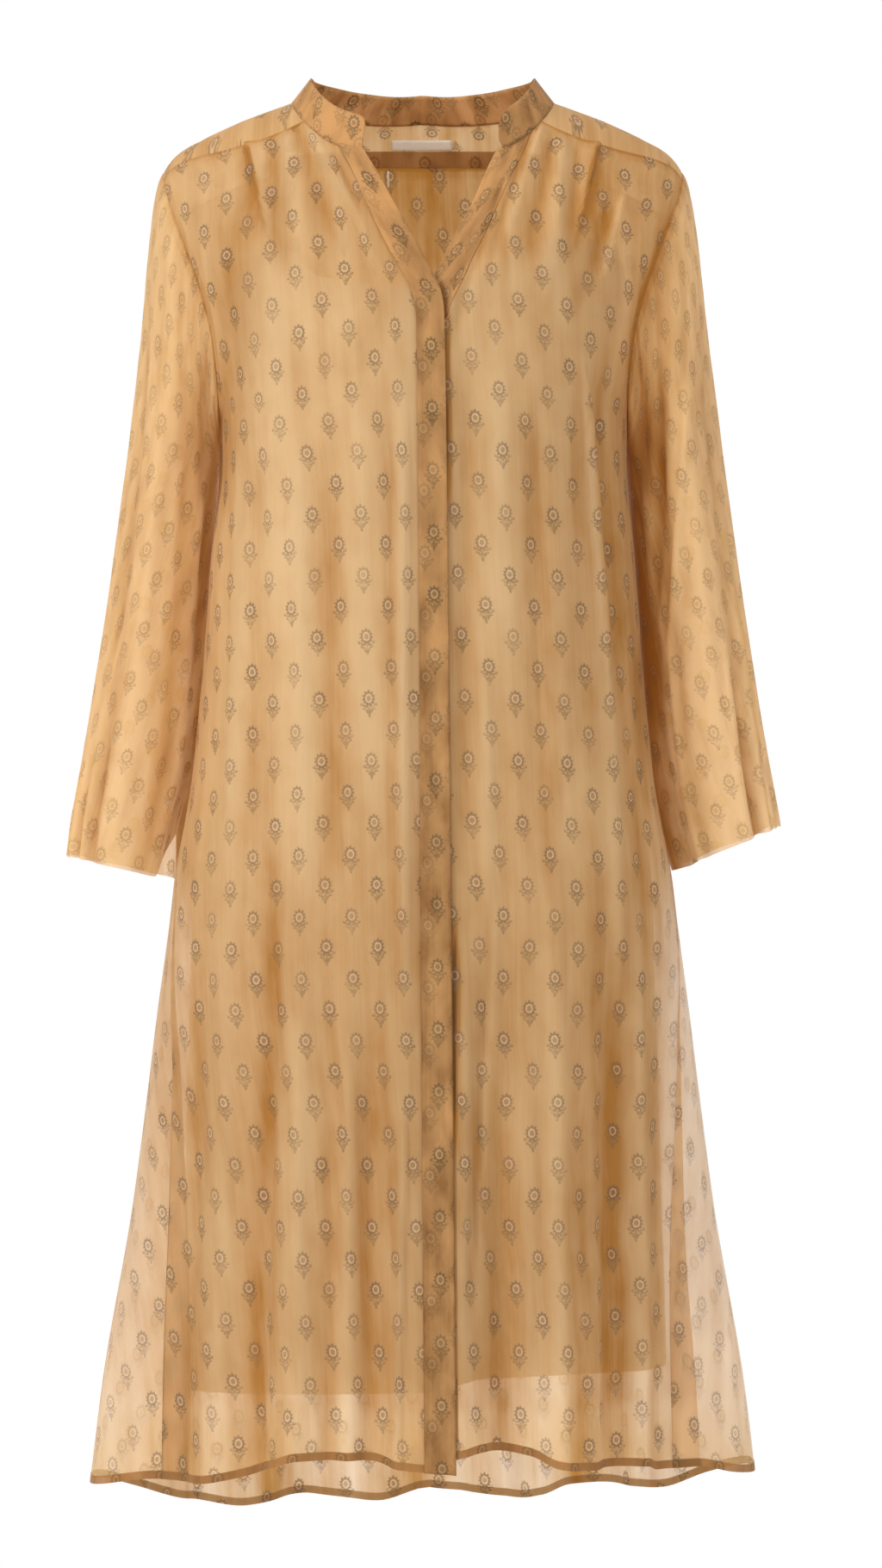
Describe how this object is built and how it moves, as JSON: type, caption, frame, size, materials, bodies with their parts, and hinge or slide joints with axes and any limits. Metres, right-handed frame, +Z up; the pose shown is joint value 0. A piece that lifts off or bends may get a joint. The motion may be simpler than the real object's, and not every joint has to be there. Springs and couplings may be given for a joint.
{
  "type": "tunic top",
  "caption": "Sheer ochre A-line tunic with a small flower sprig, stand collar, V neck, full long sleeves and a gold inner slip, in its hollow worn shape.",
  "frame": {"origin": "midway between the two shoulder points of the neck seam, where the wearer's shoulders carry the garment", "axes": "+Z up, -Y to the garment's front, -X to the wearer's right"},
  "size_m": [0.5782, 0.3382, 1.1784],
  "materials": {
    "sheer_ochre_cloth": "sheer plain weave with a small sprig print, matte",
    "doubled_ochre_cloth": "the same cloth doubled, matte",
    "slip_cloth": "smooth lining, soft sheen",
    "woven_label": "woven ribbon, bare"
  },
  "bodies": {
    "root": {"front_right": "sheer_ochre_cloth", "front_left": "sheer_ochre_cloth", "placket_right": "doubled_ochre_cloth", "placket_left": "doubled_ochre_cloth", "back": "sheer_ochre_cloth", "yoke": "sheer_ochre_cloth", "collar": "doubled_ochre_cloth", "sleeve_right": "sheer_ochre_cloth", "sleeve_left": "sheer_ochre_cloth", "slip_front": "slip_cloth", "slip_back": "slip_cloth", "slip_strap_right": "slip_cloth", "slip_strap_left": "slip_cloth", "yoke_seam_band": "doubled_ochre_cloth", "label": "woven_label", "hanger_loop": "woven_label"}
  },
  "joints": []
}
